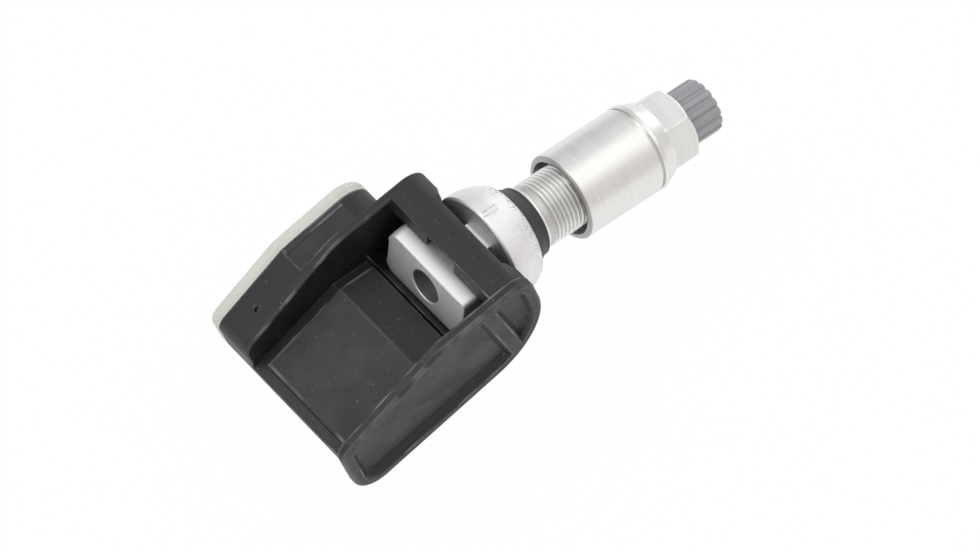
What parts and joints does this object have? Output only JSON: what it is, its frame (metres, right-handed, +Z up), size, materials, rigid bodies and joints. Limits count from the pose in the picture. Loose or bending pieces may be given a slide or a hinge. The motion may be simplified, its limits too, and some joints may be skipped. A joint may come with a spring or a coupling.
{
  "type": "tyre pressure sensor",
  "caption": "Wheel tyre pressure sensor: a moulded electronics housing that swings on a barrel nut at the foot of a clamp-in valve with dome collar, rim seal, sleeve nut and cap.",
  "frame": {"origin": "on the valve's axis, at the front face of the rim seal, where the wheel rim seats", "axes": "+X out along the valve to its cap, +Y to the sensor's left (the electronics block), +Z up, on the open side of the housing's channel"},
  "size_m": [0.08, 0.0333, 0.0287],
  "materials": {
    "housing_nylon": "moulded, fine matt grain",
    "cover_nylon": "moulded, satin, slightly translucent",
    "board_laminate": "solder mask",
    "battery_steel": "drawn, plated",
    "nickel_strip": "rolled",
    "chip_epoxy": "moulded",
    "filter_membrane": "porous",
    "coil_ferrite": "dipped",
    "crystal_can": "drawn",
    "capacitor_ceramic": "fired",
    "antenna_bronze": "rolled",
    "barrel_steel": "turned, ground flat, satin",
    "stem_aluminium": "turned, anodised",
    "collar_zinc": "die-cast, rough",
    "seal_rubber": "moulded",
    "core_brass": "turned",
    "core_seal": "moulded",
    "spring_steel": "drawn wire",
    "nut_aluminium": "turned, satin anodised",
    "cap_plastic": "moulded"
  },
  "bodies": {
    "valve": {"barrel_nut": "barrel_steel", "valve_stem": "stem_aluminium", "seat_collar": "collar_zinc", "seal_grommet": "seal_rubber", "valve_core_body": "core_brass", "core_seal_ring": "core_seal", "core_spring": "spring_steel"},
    "housing": {"housing": "housing_nylon", "side_cover": "cover_nylon", "circuit_board": "board_laminate", "battery_cell": "battery_steel", "battery_tab_positive": "nickel_strip", "battery_tab_negative": "nickel_strip", "pressure_chip": "chip_epoxy", "port_filter": "filter_membrane", "wake_up_coil": "coil_ferrite", "crystal": "crystal_can", "capacitors": "capacitor_ceramic", "antenna": "antenna_bronze"},
    "nut": {"sleeve_nut": "nut_aluminium"},
    "cap": {"valve_cap": "cap_plastic", "cap_seal": "seal_rubber"},
    "core_pin": {"core_pin": "core_brass"}
  },
  "joints": [
    {"name": "housing_swing", "type": "hinge", "parent": "valve", "child": "housing", "pos_m": [-0.0172, 0, 0], "axis": [0, 1, 0], "range_deg": [-3, 17]},
    {"name": "nut_travel", "type": "slide", "parent": "valve", "child": "nut", "axis": [1, 0, 0], "range_m": [-0.0045, 0.03]},
    {"name": "cap_travel", "type": "slide", "parent": "valve", "child": "cap", "axis": [1, 0, 0], "range_m": [0, 0.013]},
    {"name": "core_press", "type": "slide", "parent": "valve", "child": "core_pin", "axis": [1, 0, 0], "range_m": [-0.0012, 0], "stiffness_N_per_m": 1500, "springref_m": 0.002, "deforming": ["core_spring"]}
  ]
}
